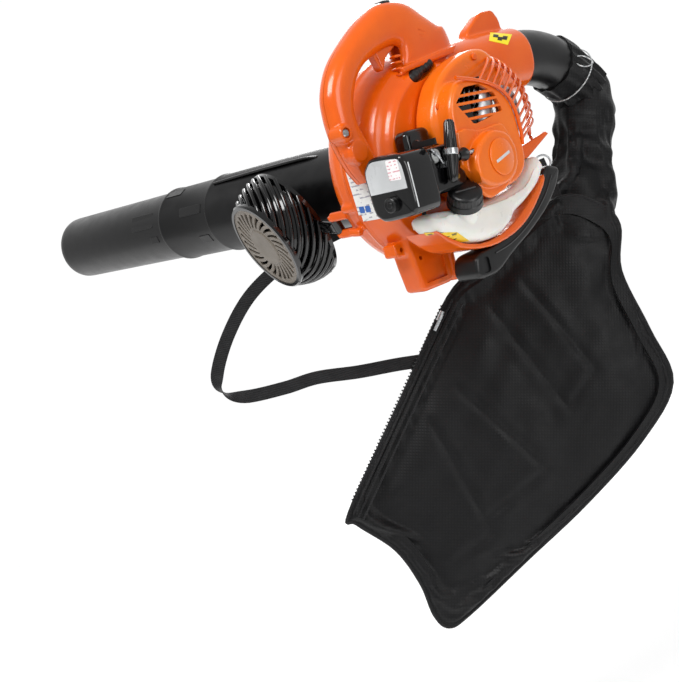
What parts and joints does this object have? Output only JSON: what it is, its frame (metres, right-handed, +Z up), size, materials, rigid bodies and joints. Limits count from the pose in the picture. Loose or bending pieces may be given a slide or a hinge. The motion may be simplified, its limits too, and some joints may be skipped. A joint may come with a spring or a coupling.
{
  "type": "leaf blower vacuum",
  "caption": "Petrol leaf blower set up as a vacuum, with two suction tubes, an outlet elbow, a zipped debris bag and a shoulder strap.",
  "frame": {"origin": "centre of the hand grip on top of the machine", "axes": "+Y along the suction tubes, +X along the outlet neck, +Z up from the fan axis to the handle"},
  "size_m": [0.573, 0.8723, 0.7969],
  "materials": {
    "orange_shell": "injection moulded, semi gloss",
    "orange_cover": "injection moulded, semi gloss",
    "black_plastic": "moulded, satin",
    "black_gloss": "moulded, gloss",
    "rubber": "matte",
    "filter_foam": "open foam",
    "steel": "bright",
    "aluminium": "cast",
    "tank_plastic": "translucent blow moulded",
    "grey_plastic": "moulded",
    "bag_cloth": "woven polyester",
    "strap_web": "woven webbing",
    "drawcord": "braided cord"
  },
  "bodies": {
    "housing": {"scroll_inlet_half": "orange_shell", "scroll_engine_half": "orange_shell", "cable_grommet": "rubber", "crankcase": "aluminium", "bearing_starter_side": "steel", "bearing_fan_side": "steel", "cylinder": "aluminium", "piston": "aluminium", "connecting_rod": "steel", "spark_plug": "steel", "plug_boot": "rubber", "ignition_coil": "black_plastic", "muffler": "steel", "carburettor": "aluminium", "filter_element": "filter_foam", "filter_base": "black_plastic", "engine_cover": "orange_cover", "muffler_guard": "orange_cover", "starter_housing": "orange_cover", "starter_badge": "orange_cover", "recoil_spring": "steel", "rope_guide": "rubber", "fuel_tank": "tank_plastic", "fuel_line": "rubber", "rear_stand": "black_plastic", "handle_left": "orange_shell", "handle_right": "orange_shell", "handle_screw": "steel", "trigger_pin": "steel", "upper_suction_tube": "black_plastic", "lower_suction_tube": "black_plastic", "guard_hinge_pin": "steel", "outlet_elbow": "black_plastic", "bag_cuff": "bag_cloth", "bag_drawcord": "drawcord", "bag_front_panel": "bag_cloth", "bag_back_panel": "bag_cloth", "bag_neck": "bag_cloth", "bag_zip": "black_plastic", "strap_ring": "steel", "shoulder_strap": "strap_web", "cover_screw_left": "steel", "cover_screw_top": "steel"},
    "crank": {"fan_impeller": "aluminium", "fan_nut": "steel", "crankshaft": "steel", "flywheel": "aluminium"},
    "trigger": {"throttle_trigger": "orange_shell"},
    "switch": {"stop_switch": "black_plastic"},
    "grip": {"pull_grip": "rubber", "starter_rope": "drawcord"},
    "pulley": {"starter_pulley": "black_plastic"},
    "cap": {"fuel_cap": "black_plastic", "cap_gasket": "rubber"},
    "choke": {"choke_lever": "black_plastic"},
    "primer": {"primer_bulb": "grey_plastic"},
    "filter_cover": {"air_filter_cover": "black_gloss"},
    "knob": {"filter_knob": "black_plastic"},
    "guard": {"intake_guard": "black_plastic"},
    "zip_pull": {"zip_slider": "steel"}
  },
  "joints": [
    {"name": "trigger_squeeze", "type": "hinge", "parent": "housing", "child": "trigger", "pos_m": [0.052, 0, -0.003], "axis": [0, 1, 0], "range_deg": [0, 12], "stiffness_Nm_per_rad": 0.3, "springref_deg": -8.59},
    {"name": "stop_switch_slide", "type": "slide", "parent": "housing", "child": "switch", "axis": [1, 0, 0], "range_m": [0, 0.004]},
    {"name": "starter_pull", "type": "slide", "parent": "housing", "child": "grip", "axis": [-0.5014, -0.6217, 0.6017], "range_m": [0, 0.5], "stiffness_N_per_m": 15, "springref_m": -0.1, "deforming": ["starter_rope"]},
    {"name": "pulley_spin", "type": "hinge", "parent": "housing", "child": "pulley", "pos_m": [0.069, -0.085, -0.166], "axis": [0, 1, 0], "continuous": true},
    {"name": "crank_spin", "type": "hinge", "parent": "housing", "child": "crank", "pos_m": [0.072, -0.051, -0.157], "axis": [0, 1, 0], "continuous": true},
    {"name": "fuel_cap_turn", "type": "hinge", "parent": "housing", "child": "cap", "pos_m": [0.018, -0.072, -0.205], "axis": [-0.3495, -0.5493, 0.759], "range_deg": [0, 340]},
    {"name": "choke_turn", "type": "hinge", "parent": "housing", "child": "choke", "pos_m": [-0.0285, -0.065, -0.1295], "axis": [-1, 0, 0], "range_deg": [0, 45]},
    {"name": "primer_press", "type": "slide", "parent": "housing", "child": "primer", "axis": [0, 1, 0], "range_m": [0, 0.006], "stiffness_N_per_m": 200, "deforming": ["primer_bulb"]},
    {"name": "filter_cover_off", "type": "slide", "parent": "housing", "child": "filter_cover", "axis": [-1, 0, 0], "range_m": [0, 0.06]},
    {"name": "filter_knob_turn", "type": "hinge", "parent": "filter_cover", "child": "knob", "pos_m": [-0.078, -0.056, -0.183], "axis": [-1, 0, 0], "range_deg": [0, 340]},
    {"name": "guard_swing", "type": "hinge", "parent": "housing", "child": "guard", "pos_m": [-0.02721, 0.086, -0.19708], "axis": [-0.3746, 0, 0.9272], "range_deg": [0, 30]},
    {"name": "zip_slide", "type": "slide", "parent": "housing", "child": "zip_pull", "axis": [-0.545, 0.3507, -0.7616], "range_m": [0, 0.27]}
  ],
  "couplings": [
    {"joint": "pulley_spin", "follows": "starter_pull", "rad_per_m": -62.5}
  ]
}
